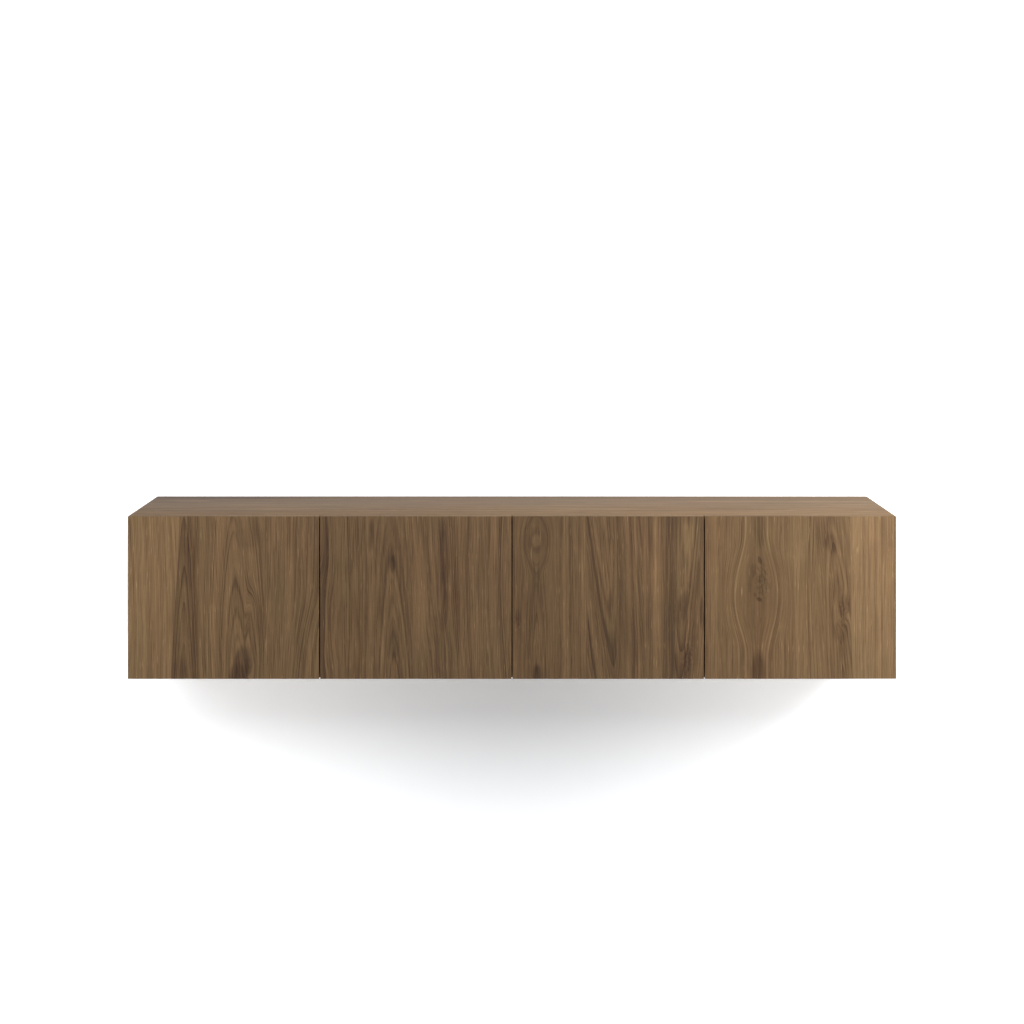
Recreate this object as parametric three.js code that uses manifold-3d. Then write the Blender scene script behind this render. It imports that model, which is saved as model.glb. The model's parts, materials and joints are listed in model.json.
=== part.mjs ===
// A wall-hung TV cabinet with four push-to-open doors, in millimetres.
// The front faces -Y, +X is to the right and +Z is up.
// The origin is the centre of the flat back of the wall rail, so the wall is the plane Y = 0.
import * as THREE from "three";
import { mergeVertices } from "three/addons/utils/BufferGeometryUtils.js";
import Module from "manifold-3d";

const wasm = await Module();
wasm.setup();

// Overall size of the cabinet
const cabinetWidth = 1800;
const cabinetHeight = 381;
const cabinetDepth = 450;
const railBelowTop = 57;

// Boards
const topThickness = 22;
const boardThickness = 19;
const partitionThickness = 22;
const backThickness = 8;
const rearSpace = 20;
const cableSlotHeight = 45;

// Doors
const doorCount = 4;
const doorThickness = 19;
const doorGap = 3;
const doorSetOff = 2.5;

// Clearances shared by every fitting
const fitGap = 0.3;
const cutOverrun = 5;

// Shelves, their pins and the drilled rows
const shelfThickness = 19;
const shelfEndGap = 1;
const shelfSetBack = 20;
const shelfRearGap = 2;
const shelfUndersideHeight = 160;
const rowSetBack = 37;
const rowRearSetBack = 60;
const rowPitch = 32;
const rowHoles = 3;
const rowHoleRadius = 2.65;
const rowHoleDepth = 10;
const pinShankRadius = 2.5;
const pinShankLength = 9.5;
const pinPadLength = 9;
const pinPadWidth = 10;
const pinPadThickness = 2;
const pinFlangeHeight = 9;
const pinFlangeThickness = 1.5;
const holeSides = 10;

// Wall rail, a folded steel strip with a hooking lip
const railHeight = 40;
const railMetal = 2;
const railEndGap = 6;
const railLipDepth = 9;
const railLipHeight = 8;
const railSlotCount = 6;
const railSlotLength = 12;
const railSlotRadius = 3.25;
const slotSides = 8;

// Cabinet hangers
const hangerWidth = 15;
const hangerLength = 75;
const hangerDrop = 43;
const hangerRearGap = 1;
const hangerNose = 8;
const hookThickness = 3.2;
const hookRise = 4.7;
const hookBite = 5;
const adjusterRadius = 3.5;
const adjusterProud = 1.5;
const adjusterFromEnd = 9;
const adjusterSides = 10;

// Concealed hinges, drawn in plan from the door's hinge edge and its front face
const hingeInset = 60;
const cupRadius = 17.5;
const cupEdgeDistance = 5;
const cupDepth = 11.5;
const cupWall = 1;
const cupFloor = 1;
const cupRimRadius = 19.5;
const cupRimThickness = 1;
const cupSides = 20;
const wingInner = 17;
const wingOuter = 32;
const wingHalfWidth = 6;
const wingThickness = 1.2;
const wingScrewPitch = 52;
const screwHeadRadius = 3.8;
const screwHeadHeight = 0.8;
const screwHeadSides = 8;
const pivotFromEdge = 33;
const pivotBehindFace = 12.2;
const eyeRadius = 3.2;
const pivotPinRadius = 1.5;
const eyeSides = 12;
const linkReach = 18.25;
const linkRise = 3.05;
const linkBow = 3;
const linkThickness = 2;
const linkWidth = 8;
const linkSteps = 5;
const armWidth = 13;
const armHeight = 11;
const armLength = 62;
const armNeck = 7;
const armSplay = 1.3;
const armTaper = 6;
const armSlopeShare = 0.9;
const plateThickness = 3;
const plateSetBack = 37;
const plateScrewPitch = 32;
const plateHalfHeight = 24;
const plateHalfDepth = 9;
const plateBodyHalfHeight = 8;
const plateBodyStart = 12;

// Push latches
const latchInset = 34;
const latchBarrelRadius = 6.5;
const latchLength = 62;
const latchSetBack = 1.5;
const latchFlangeWidth = 30;
const latchFlangeLength = 44;
const latchFlangeThickness = 2;
const latchWebWidth = 8;
const plungerRadius = 3.5;
const plungerTipRadius = 4.5;
const plungerLength = 48;
const plungerClearance = 0.3;
const latchSides = 12;

// Planes and widths worked out from the sizes above
const topFace = railBelowTop;
const underTop = topFace - topThickness;
const bottomFace = topFace - cabinetHeight;
const overBottom = bottomFace + boardThickness;
const halfWidth = cabinetWidth / 2;
const sideInner = halfWidth - boardThickness;
const partitionFace = partitionThickness / 2;
const doorFront = -cabinetDepth;
const doorBack = doorFront + doorThickness;
const carcassFront = doorBack + doorSetOff;
const backRear = -rearSpace;
const backFront = backRear - backThickness;
const slotSill = underTop - cableSlotHeight;
const doorWidth = (cabinetWidth - doorGap * (doorCount - 1)) / doorCount;
const shelfUnderside = overBottom + shelfUndersideHeight;
const pinShankHeight = shelfUnderside - fitGap - pinPadThickness - pinShankRadius;
const frontRow = carcassFront + rowSetBack;
const rowSpan = rowPitch * Math.floor((backFront - rowRearSetBack - frontRow) / rowPitch);
const railSlotPitch = cabinetWidth / railSlotCount;
const carcassBehindFace = doorThickness + doorSetOff;

// Finishes
const finishes = {
  walnut: { color: 0x7a6349, roughness: 0.55, metalness: 0 },
  backBoard: { color: 0x4a3c2e, roughness: 0.7, metalness: 0 },
  nickel: { color: 0xb9b8b3, roughness: 0.3, metalness: 1 },
  zinc: { color: 0xa4a7a9, roughness: 0.45, metalness: 1 },
  darkPlastic: { color: 0x2c2b2a, roughness: 0.6, metalness: 0 },
  palePlastic: { color: 0xbdbbb5, roughness: 0.5, metalness: 0 },
};

const cabinet = new THREE.Group();

function addPiece(parent, name, geometry, finish) {
  const mesh = new THREE.Mesh(geometry, new THREE.MeshStandardMaterial(finishes[finish]));
  mesh.name = name;
  parent.add(mesh);
  return mesh;
}

// A box between two planes on each axis, with its corners exactly on those planes
function slab(acrossX, acrossY, acrossZ) {
  const geometry = new THREE.BoxGeometry(1, 1, 1);
  const corners = geometry.attributes.position;
  const pick = (pair, value) => (value > 0 ? Math.max(...pair) : Math.min(...pair));
  for (let i = 0; i < corners.count; i += 1) {
    const x = pick(acrossX, corners.getX(i));
    const y = pick(acrossY, corners.getY(i));
    const z = pick(acrossZ, corners.getZ(i));
    corners.setXYZ(i, x, y, z);
  }
  return geometry;
}

// A closed three.js mesh as a solid that can be joined and cut
function solidOf(geometry) {
  const bare = geometry.clone();
  bare.deleteAttribute("normal");
  bare.deleteAttribute("uv");
  const merged = mergeVertices(bare);
  const triVerts = [];
  for (let i = 0; i < merged.index.count; i += 3) {
    const corners = [0, 1, 2].map((step) => merged.index.getX(i + step));
    if (new Set(corners).size === corners.length) triVerts.push(...corners);
  }
  const mesh = new wasm.Mesh({
    numProp: 3,
    vertProperties: merged.attributes.position.array,
    triVerts: new Uint32Array(triVerts),
  });
  return new wasm.Manifold(mesh);
}

function geometryOf(solid) {
  const { vertProperties, triVerts } = solid.getMesh();
  const geometry = new THREE.BufferGeometry();
  geometry.setAttribute("position", new THREE.BufferAttribute(vertProperties, 3));
  geometry.setIndex(new THREE.BufferAttribute(triVerts, 1));
  geometry.computeVertexNormals();
  return geometry;
}

function join(shapes) {
  return shapes.map(solidOf).reduce((whole, part) => whole.add(part));
}

function cut(whole, shapes) {
  return shapes.map(solidOf).reduce((rest, part) => rest.subtract(part), whole);
}

function shapeThrough(points) {
  return new THREE.Shape(points.map(([x, y]) => new THREE.Vector2(x, y)));
}

// An outline in plan (X, Y) raised along Z, centred on Z = 0
function raised(shape, height, curveSegments) {
  const geometry = new THREE.ExtrudeGeometry(shape, { depth: height, bevelEnabled: false, curveSegments });
  return geometry.translate(0, 0, -height / 2);
}

// An outline in side view (Y, Z) pulled along X from startX
function pulled(shape, length, startX) {
  const geometry = new THREE.ExtrudeGeometry(shape, { depth: length, bevelEnabled: false });
  const toSideView = new THREE.Matrix4().makeBasis(
    new THREE.Vector3(0, 1, 0), new THREE.Vector3(0, 0, 1), new THREE.Vector3(1, 0, 0));
  return geometry.applyMatrix4(toSideView).translate(startX, 0, 0);
}

// A rod from one point, running a length along one axis
function rod(axis, start, length, radius, sides) {
  const geometry = new THREE.CylinderGeometry(radius, radius, length, sides);
  geometry.translate(0, length / 2, 0);
  if (axis === "x") geometry.rotateZ(-Math.PI / 2);
  if (axis === "z") geometry.rotateX(Math.PI / 2);
  return geometry.translate(...start);
}

// Carcass: one top over two sides, with the bottom and the partition between them
function drilledRows(faceX, inward) {
  const rods = [];
  for (const backFromRow of [0, rowSpan]) {
    for (let i = 0; i < rowHoles; i += 1) {
      const y = frontRow + backFromRow;
      const z = pinShankHeight + (i - (rowHoles - 1) / 2) * rowPitch;
      const length = rowHoleDepth + cutOverrun;
      const startX = inward > 0 ? faceX - rowHoleDepth : faceX - cutOverrun;
      rods.push(rod("x", [startX, y, z], length, rowHoleRadius, holeSides));
    }
  }
  return rods;
}

function addCarcass() {
  const fullDepth = [carcassFront, 0];
  const innerDepth = [carcassFront, backRear];
  const top = slab([-halfWidth, halfWidth], fullDepth, [underTop, topFace]);
  addPiece(cabinet, "top_panel", top, "walnut");
  const bottom = slab([-sideInner, sideInner], innerDepth, [bottomFace, overBottom]);
  addPiece(cabinet, "bottom_panel", bottom, "walnut");
  const sideHeight = [bottomFace, underTop];
  const leftSide = solidOf(slab([-halfWidth, -sideInner], fullDepth, sideHeight));
  addPiece(cabinet, "left_side", geometryOf(cut(leftSide, drilledRows(-sideInner, 1))), "walnut");
  const rightSide = solidOf(slab([sideInner, halfWidth], fullDepth, sideHeight));
  addPiece(cabinet, "right_side", geometryOf(cut(rightSide, drilledRows(sideInner, -1))), "walnut");
  const partition = solidOf(slab([-partitionFace, partitionFace], innerDepth, [overBottom, underTop]));
  const partitionHoles = [...drilledRows(-partitionFace, -1), ...drilledRows(partitionFace, 1)];
  addPiece(cabinet, "centre_partition", geometryOf(cut(partition, partitionHoles)), "walnut");
}

// Each compartment has a back panel, a shelf and the pins under the shelf
function pinGeometry() {
  const padTop = pinShankRadius + pinPadThickness;
  const halfPad = pinPadWidth / 2;
  const inPanel = fitGap + pinShankLength;
  return geometryOf(join([
    rod("x", [-inPanel + fitGap, 0, 0], inPanel + fitGap, pinShankRadius, holeSides),
    slab([fitGap, fitGap + pinPadLength], [-halfPad, halfPad], [padTop - pinPadThickness, padTop]),
    slab([fitGap, fitGap + pinFlangeThickness], [-halfPad, halfPad], [padTop - pinFlangeHeight, padTop]),
  ]));
}

function addCompartment(label, lowX, highX) {
  const back = slab([lowX, highX], [backFront, backRear], [overBottom, slotSill]);
  addPiece(cabinet, `back_panel_${label}`, back, "backBoard");
  const acrossShelf = [lowX + shelfEndGap, highX - shelfEndGap];
  const shelfDepth = [carcassFront + shelfSetBack, backFront - shelfRearGap];
  const shelf = slab(acrossShelf, shelfDepth, [shelfUnderside, shelfUnderside + shelfThickness]);
  addPiece(cabinet, `shelf_${label}`, shelf, "walnut");
  let pinNumber = 1;
  for (const backFromRow of [0, rowSpan]) {
    for (const faceX of [lowX, highX]) {
      const pin = addPiece(cabinet, `shelf_pin_${label}_${pinNumber}`, pinGeometry(), "nickel");
      pin.position.set(faceX, frontRow + backFromRow, pinShankHeight);
      pin.rotation.z = faceX === lowX ? 0 : Math.PI;
      pinNumber += 1;
    }
  }
}

// Wall rail: flat strip on the wall, a step forward and an upright lip
function addWallRail() {
  const low = -railHeight / 2;
  const high = railHeight / 2;
  const stepTop = high - railLipHeight + railMetal;
  const section = shapeThrough([
    [0, low],
    [0, stepTop],
    [-railLipDepth + railMetal, stepTop],
    [-railLipDepth + railMetal, high],
    [-railLipDepth, high],
    [-railLipDepth, stepTop - railMetal],
    [-railMetal, stepTop - railMetal],
    [-railMetal, low],
  ]);
  const halfRail = sideInner - railEndGap;
  const slots = [];
  for (let i = 0; i < railSlotCount; i += 1) {
    const x = (i - (railSlotCount - 1) / 2) * railSlotPitch;
    const halfSlot = railSlotLength / 2 - railSlotRadius;
    const outline = new THREE.Shape();
    outline.absarc(halfSlot, 0, railSlotRadius, -Math.PI / 2, Math.PI / 2);
    outline.absarc(-halfSlot, 0, railSlotRadius, Math.PI / 2, 1.5 * Math.PI);
    const slot = raised(outline, 2 * (railMetal + cutOverrun), slotSides / 2);
    slots.push(slot.rotateX(Math.PI / 2).translate(x, 0, 0));
  }
  const strip = solidOf(pulled(section, 2 * halfRail, -halfRail));
  addPiece(cabinet, "wall_rail", geometryOf(cut(strip, slots)), "zinc");
}

// Hangers: a case in each upper rear corner, with a hook over the rail's lip
function addHanger(number, faceX, inward) {
  const rear = backRear - hangerRearGap;
  const front = rear - hangerLength;
  const high = underTop - fitGap;
  const low = underTop - hangerDrop;
  const hookUnder = railHeight / 2 + fitGap;
  const hookOver = hookUnder + hookRise;
  const hookTip = -railLipDepth + railMetal + fitGap + hookThickness;
  const outline = shapeThrough([
    [front, low],
    [rear, low],
    [rear, hookUnder],
    [hookTip - hookThickness, hookUnder],
    [hookTip - hookThickness, railHeight / 2 - hookBite],
    [hookTip, railHeight / 2 - hookBite],
    [hookTip, hookOver],
    [rear, hookOver],
    [rear, high],
    [front + hangerNose, high],
    [front, high - hangerNose],
  ]);
  const startX = inward > 0 ? faceX + fitGap : faceX - fitGap - hangerWidth;
  const middleX = startX + hangerWidth / 2;
  const heights = [low + adjusterFromEnd, high - hangerNose - adjusterFromEnd];
  const length = adjusterProud + hangerNose;
  const adjusters = heights.map((z) =>
    rod("y", [middleX, front - adjusterProud, z], length, adjusterRadius, adjusterSides));
  const hanger = join([pulled(outline, hangerWidth, startX), ...adjusters]);
  addPiece(cabinet, `hanger_${number}`, geometryOf(hanger), "zinc");
}

// Hinge cup: a pressed cup with a rim and two screwed wings, on the back of the door
function cupGeometry() {
  const centre = cupEdgeDistance + cupRadius;
  const rimUnder = doorThickness + fitGap;
  const rimTop = rimUnder + cupRimThickness;
  const cupBase = doorThickness - cupDepth;
  const inner = cupRadius - cupWall;
  const profile = [
    [0, cupBase],
    [cupRadius, cupBase],
    [cupRadius, rimUnder],
    [cupRimRadius, rimUnder],
    [cupRimRadius, rimTop],
    [inner, rimTop],
    [inner, cupBase + cupFloor],
    [0, cupBase + cupFloor],
  ];
  const cup = new THREE.LatheGeometry(profile.map(([r, y]) => new THREE.Vector2(r, y)), cupSides);
  const pieces = [cup];
  const wingTop = rimUnder + wingThickness;
  for (const up of [-1, 1]) {
    const across = [-wingHalfWidth, wingHalfWidth];
    pieces.push(slab(across, [rimUnder, wingTop], [up * wingInner, up * wingOuter]));
    const screw = [0, rimUnder, up * wingScrewPitch / 2];
    pieces.push(rod("y", screw, wingThickness + screwHeadHeight, screwHeadRadius, screwHeadSides));
  }
  return geometryOf(join(pieces)).translate(centre, 0, 0);
}

// Hinge arm: a channel on a cross-shaped mounting plate, with a clevis and pin at its tip
function armGeometry(mountFace) {
  const plateTop = mountFace + fitGap + plateThickness;
  const armTop = plateTop + armHeight;
  const neckY = pivotBehindFace + armNeck;
  const neckX = pivotFromEdge - eyeRadius - armSplay;
  const kneeX = plateTop - plateThickness / 2;
  const kneeY = neckY + (neckX - kneeX) * armSlopeShare;
  const shoulderX = pivotFromEdge + eyeRadius;
  const shoulderY = neckY + armHeight / 2;
  const elbowY = shoulderY + Math.abs(shoulderX - armTop) * armSlopeShare;
  const endY = carcassBehindFace + armLength;
  const outline = new THREE.Shape();
  outline.absarc(pivotFromEdge, pivotBehindFace, eyeRadius, 0, -Math.PI, true);
  outline.lineTo(neckX, neckY);
  outline.lineTo(kneeX, kneeY);
  outline.lineTo(kneeX, endY);
  outline.lineTo(armTop - armTaper, endY);
  outline.lineTo(armTop, endY - armTaper);
  outline.lineTo(armTop, elbowY);
  outline.lineTo(shoulderX, shoulderY);
  outline.closePath();

  const plateY = carcassBehindFace + plateSetBack;
  const bodyStart = carcassBehindFace + plateBodyStart;
  const plate = shapeThrough([
    [bodyStart, -plateBodyHalfHeight],
    [plateY - plateHalfDepth, -plateBodyHalfHeight],
    [plateY - plateHalfDepth, -plateHalfHeight],
    [plateY + plateHalfDepth, -plateHalfHeight],
    [plateY + plateHalfDepth, -plateBodyHalfHeight],
    [endY, -plateBodyHalfHeight],
    [endY, plateBodyHalfHeight],
    [plateY + plateHalfDepth, plateBodyHalfHeight],
    [plateY + plateHalfDepth, plateHalfHeight],
    [plateY - plateHalfDepth, plateHalfHeight],
    [plateY - plateHalfDepth, plateBodyHalfHeight],
    [bodyStart, plateBodyHalfHeight],
  ]);
  const pieces = [
    raised(outline, armWidth, eyeSides / 2),
    pulled(plate, plateThickness, mountFace + fitGap),
  ];
  for (const up of [-1, 1]) {
    const screw = [mountFace + fitGap, plateY, up * plateScrewPitch / 2];
    pieces.push(rod("x", screw, plateThickness + screwHeadHeight, screwHeadRadius, screwHeadSides));
  }
  const halfSlot = linkWidth / 2 + fitGap;
  const slotEnd = pivotBehindFace + eyeRadius + fitGap;
  const slotStart = pivotBehindFace - eyeRadius - cutOverrun;
  const reach = eyeRadius + cutOverrun;
  const slot = slab(
    [pivotFromEdge - reach, pivotFromEdge + reach], [slotStart, slotEnd], [-halfSlot, halfSlot]);
  const pinLength = armWidth - 2 * fitGap;
  const pin = rod(
    "z", [pivotFromEdge, pivotBehindFace, -pinLength / 2], pinLength, pivotPinRadius, eyeSides);
  return geometryOf(cut(join(pieces), [slot]).add(solidOf(pin)));
}

// Hinge link: an eye on the arm's pin and a bowed strip that ends inside the cup
function linkGeometry() {
  const along = new THREE.Vector2(-linkReach, linkRise);
  const across = new THREE.Vector2(-along.y, along.x).normalize();
  const startShare = eyeRadius / 2 / along.length();
  const near = [];
  const far = [];
  for (let i = 0; i <= linkSteps; i += 1) {
    const share = startShare + (1 - startShare) * i / linkSteps;
    const bow = 4 * linkBow * share * (1 - share);
    const point = along.clone().multiplyScalar(share).addScaledVector(across, bow);
    near.push(point.clone().addScaledVector(across, linkThickness / 2));
    far.push(point.clone().addScaledVector(across, -linkThickness / 2));
  }
  const strip = raised(new THREE.Shape([...near, ...far.reverse()]), linkWidth);
  const eye = rod("z", [0, 0, -linkWidth / 2], linkWidth, eyeRadius, eyeSides);
  const boreLength = linkWidth + 2 * cutOverrun;
  const bore = rod("z", [0, 0, -boreLength / 2], boreLength, pivotPinRadius + fitGap, eyeSides);
  return geometryOf(cut(join([eye, strip]), [bore]));
}

// A door with its hinges, drawn from its hinge edge: X away from that edge, Y into the cabinet.
// A door hinged on the right is the same group turned over about Y.
function addDoor(number, edgeX, hingedLeft, mountFace) {
  const leaf = new THREE.Group();
  leaf.position.set(edgeX, doorFront, (topFace + bottomFace) / 2);
  leaf.rotation.y = hingedLeft ? 0 : Math.PI;
  cabinet.add(leaf);
  const halfHeight = cabinetHeight / 2;
  const hingeHeights = [halfHeight - hingeInset, hingeInset - halfHeight];
  const board = solidOf(slab([0, doorWidth], [0, doorThickness], [-halfHeight, halfHeight]));
  const cupCentre = cupEdgeDistance + cupRadius;
  const boreFloor = doorThickness - cupDepth - fitGap;
  const boreLength = cupDepth + fitGap + cutOverrun;
  const bores = hingeHeights.map((z) =>
    rod("y", [cupCentre, boreFloor, z], boreLength, cupRadius + fitGap, cupSides));
  addPiece(leaf, `door_${number}`, geometryOf(cut(board, bores)), "walnut");
  hingeHeights.forEach((z, index) => {
    const isUpper = hingedLeft ? index === 0 : index === 1;
    const label = `${number}_${isUpper ? "upper" : "lower"}`;
    const hinge = new THREE.Group();
    hinge.position.set(0, 0, z);
    leaf.add(hinge);
    addPiece(hinge, `hinge_cup_${label}`, cupGeometry(), "nickel");
    addPiece(hinge, `hinge_arm_${label}`, armGeometry(mountFace), "nickel");
    const link = addPiece(hinge, `hinge_link_${label}`, linkGeometry(), "nickel");
    link.position.set(pivotFromEdge, pivotBehindFace, 0);
  });
}

// Push latch: a bored barrel on a flange under the top, and the plunger that pushes the door
function addLatch(number, x) {
  const flangeTop = underTop - fitGap;
  const flangeUnder = flangeTop - latchFlangeThickness;
  const barrelHeight = flangeUnder - latchBarrelRadius;
  const front = carcassFront + latchSetBack;
  const flangeY = [front + latchSetBack, front + latchSetBack + latchFlangeLength];
  const halfFlange = latchFlangeWidth / 2;
  const halfWeb = latchWebWidth / 2;
  const screwRise = screwHeadHeight + latchFlangeThickness;
  const screwY = flangeY[0] + latchFlangeLength / 2;
  const body = join([
    slab([x - halfFlange, x + halfFlange], flangeY, [flangeUnder, flangeTop]),
    slab([x - halfWeb, x + halfWeb], flangeY, [barrelHeight, flangeTop]),
    rod("y", [x, front, barrelHeight], latchLength, latchBarrelRadius, latchSides),
    ...[-1, 1].map((side) => rod(
      "z", [x + side * (halfFlange - screwHeadRadius - fitGap), screwY, flangeTop - screwRise],
      screwRise, screwHeadRadius, screwHeadSides)),
  ]);
  const tipFace = doorBack + fitGap;
  const tipBack = front - fitGap;
  const boreLength = plungerLength + cutOverrun;
  const boreRadius = plungerRadius + plungerClearance;
  const bore = rod("y", [x, front - cutOverrun, barrelHeight], boreLength, boreRadius, latchSides);
  addPiece(cabinet, `push_latch_${number}`, geometryOf(cut(body, [bore])), "darkPlastic");
  const plunger = join([
    rod("y", [0, tipFace, 0], tipBack - tipFace, plungerTipRadius, latchSides),
    rod("y", [0, tipFace, 0], plungerLength, plungerRadius, latchSides),
  ]);
  const mesh = addPiece(cabinet, `latch_plunger_${number}`, geometryOf(plunger), "palePlastic");
  mesh.position.set(x, 0, barrelHeight);
}

addCarcass();
addCompartment("left", -sideInner, -partitionFace);
addCompartment("right", partitionFace, sideInner);
addWallRail();
addHanger(1, -sideInner, 1);
addHanger(2, -partitionFace, -1);
addHanger(3, partitionFace, 1);
addHanger(4, sideInner, -1);

for (let i = 0; i < doorCount; i += 1) {
  const lowX = -halfWidth + i * (doorWidth + doorGap);
  const hingedLeft = i % 2 === 0;
  const edgeX = hingedLeft ? lowX : lowX + doorWidth;
  const onOuterSide = i === 0 || i === doorCount - 1;
  const faceX = onOuterSide ? sideInner : partitionFace;
  addDoor(i + 1, edgeX, hingedLeft, Math.abs(Math.abs(edgeX) - faceX));
  const inward = hingedLeft ? 1 : -1;
  addLatch(i + 1, edgeX + inward * (doorWidth - latchInset));
}

export default cabinet;
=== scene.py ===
import json
import math
from collections import namedtuple

import bmesh
import bpy
import numpy as np
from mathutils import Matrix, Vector


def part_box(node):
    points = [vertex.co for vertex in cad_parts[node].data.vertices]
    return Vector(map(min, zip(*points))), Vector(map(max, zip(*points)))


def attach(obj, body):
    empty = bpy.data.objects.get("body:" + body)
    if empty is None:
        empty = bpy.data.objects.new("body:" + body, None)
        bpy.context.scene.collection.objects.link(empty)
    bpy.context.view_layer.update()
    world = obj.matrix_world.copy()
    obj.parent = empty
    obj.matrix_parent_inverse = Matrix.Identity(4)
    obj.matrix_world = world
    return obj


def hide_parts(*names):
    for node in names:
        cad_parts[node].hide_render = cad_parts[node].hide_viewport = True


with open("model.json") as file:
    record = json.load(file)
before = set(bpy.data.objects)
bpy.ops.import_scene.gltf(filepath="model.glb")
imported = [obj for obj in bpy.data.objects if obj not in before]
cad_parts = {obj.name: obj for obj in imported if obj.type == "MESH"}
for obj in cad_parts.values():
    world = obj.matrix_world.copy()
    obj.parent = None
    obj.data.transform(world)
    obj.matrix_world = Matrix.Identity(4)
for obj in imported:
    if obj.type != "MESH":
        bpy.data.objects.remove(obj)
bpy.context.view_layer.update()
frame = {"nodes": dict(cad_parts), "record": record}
nodes = frame["nodes"]
bodyOfNode = {
    node: body
    for body, members in frame["record"]["behaviour"]["bodies"].items()
    for node in members
}
mm = 0.001
print("frame loaded:", len(nodes), "nodes")


view = {
    "place": (0, -5.84, 0.666),
    "lens": 80.9,
    "sensorWidth": 36,
    "shiftY": -0.2497,
    "worldStrength": 0.42,
    # place, what it faces, width, height, power
    "lamps": {
        "softbox": ((0.3, -3.5, 2.0), (0.1, 0, -0.3), 9.0, 2.3, 132),
        "sideLight": ((2.6, -1.2, 1.9), (0.5, -0.3, -0.1), 1.6, 1.6, 70),
    },
    # what the camera sees, a little blue to cancel the warm light the wood throws on the wall
    "white": (1.865, 1.9, 1.935, 1),
    # the greyer white of the painted shadow under the cabinet
    "paintedShadowWhite": (1.128, 1.16, 1.188, 1),
    "middle": (20, -450, 1020, 980, 0, 1.0),     # an ellipse as in softSpot, where the wall is painted greyer as shadow under the cabinet
    "floorHeight": -1.35,
    "wallGap": 0.2 * mm,
    "stageReach": 9,
    "stageGrey": 0.8,
}


def srgb(*display):
    # display values of 0 to 255 as linear light
    share = np.array(display) / 255
    linear = np.where(share <= 0.04045, share / 12.92, ((share + 0.055) / 1.055) ** 2.4)
    return (*linear.tolist(), 1)


def newObject(name, data):
    made = bpy.data.objects.new(name, data)
    bpy.context.scene.collection.objects.link(made)
    return made


def makeCamera():
    camera = newObject("camera", bpy.data.cameras.new("camera"))
    camera.location = view["place"]
    camera.rotation_euler = (math.pi / 2, 0, 0)
    camera.data.lens = view["lens"]
    camera.data.sensor_width = view["sensorWidth"]
    camera.data.shift_y = view["shiftY"]
    bpy.context.scene.camera = camera


def mathOperator(operation):
    return lambda wire, *others: wire.math(operation, *others)


# A Wire is one socket, and plain operators on it add Math nodes
class Wire:
    def __init__(self, finish, socket):
        self.finish = finish
        self.socket = socket

    def math(self, operation, *others):
        values = dict(enumerate([self, *others]))
        return self.finish.node("Math", {"operation": operation}, values)

    def beside(self, output):
        return Wire(self.finish, self.socket.node.outputs[output])

    __add__ = __radd__ = mathOperator("ADD")
    __sub__ = mathOperator("SUBTRACT")
    __mul__ = __rmul__ = mathOperator("MULTIPLY")
    __truediv__ = mathOperator("DIVIDE")
    __pow__ = mathOperator("POWER")
    __abs__ = mathOperator("ABSOLUTE")

    def __rsub__(self, other):
        return self.finish.node("Math", {"operation": "SUBTRACT"}, {0: other, 1: self})

    # 0 below low, 1 above high, eased between
    def step(self, low, high):
        return self.finish.node(
            "MapRange", {"interpolation_type": "SMOOTHSTEP"}, {0: self, 1: low, 2: high})


# The nodes of a material or of a world
class Finish:
    def __init__(self, name, kind=bpy.data.materials):
        self.owner = kind.new(name)
        self.owner.use_nodes = True
        self.tree = self.owner.node_tree
        self.tree.nodes.clear()

    # settings are set first, then each socket gets its value or its link
    def node(self, kind, settings=None, sockets=None, output=0):
        made = self.tree.nodes.new("ShaderNode" + kind)
        for key, value in (settings or {}).items():
            if key == "stops":
                self.setStops(made.color_ramp, value)
            else:
                setattr(made, key, value)
        for key, value in (sockets or {}).items():
            if isinstance(value, Wire):
                self.tree.links.new(value.socket, made.inputs[key])
            else:
                made.inputs[key].default_value = value
        return Wire(self, made.outputs[output]) if made.outputs else None

    def setStops(self, ramp, stops):
        while len(ramp.elements) < len(stops):
            ramp.elements.new(0.5)
        for element, (place, colour) in zip(ramp.elements, stops):
            element.position = place
            element.color = colour

    def mix(self, share, first, second):
        return self.node("Mix", None, {0: share, 2: first, 3: second})

    def mixColour(self, share, first, second, blend="MIX"):
        settings = {"data_type": "RGBA", "blend_type": blend}
        return self.node("Mix", settings, {0: share, 6: first, 7: second}, 2)

    def vector(self, x, y, z=0.0):
        return self.node("CombineXYZ", None, {0: x, 1: y, 2: z})

    # noise about 0, mostly within -1 to 1
    def noise(self, place, detail=2.0, roughness=0.5):
        flat = not isinstance(place, tuple)
        settings = {"noise_dimensions": "1D" if flat else "3D"}
        sockets = {"Scale": 1.0, "Detail": detail, "Roughness": roughness}
        sockets["W" if flat else "Vector"] = place if flat else self.vector(*place)
        return (self.node("TexNoise", settings, sockets) - 0.5) * 4

    def surface(self, **sockets):
        named = {key.replace("_", " "): value for key, value in sockets.items()}
        shader = self.node("BsdfPrincipled", None, named)
        self.node("OutputMaterial", None, {0: shader})
        return self.owner

    def bump(self, height, strength, distance):
        sockets = {"Strength": strength, "Distance": distance, "Height": height}
        return self.node("Bump", None, sockets)


# 1 in the middle of an ellipse in millimetres, eased to 0 at its rim over a share of its reach
def softSpot(finish, place, u, v, halfU, halfV, tilt=0, eased=0.6):
    local = finish.node("Mapping", {"vector_type": "TEXTURE"}, {
        0: place, 1: (u * mm, v * mm, 0),
        2: (0, 0, math.radians(tilt)), 3: (halfU * mm, halfV * mm, 1)})
    rise = finish.node("TexGradient", {"gradient_type": "SPHERICAL"}, {0: local}, 1)
    return rise.step(0.0, eased)


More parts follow.
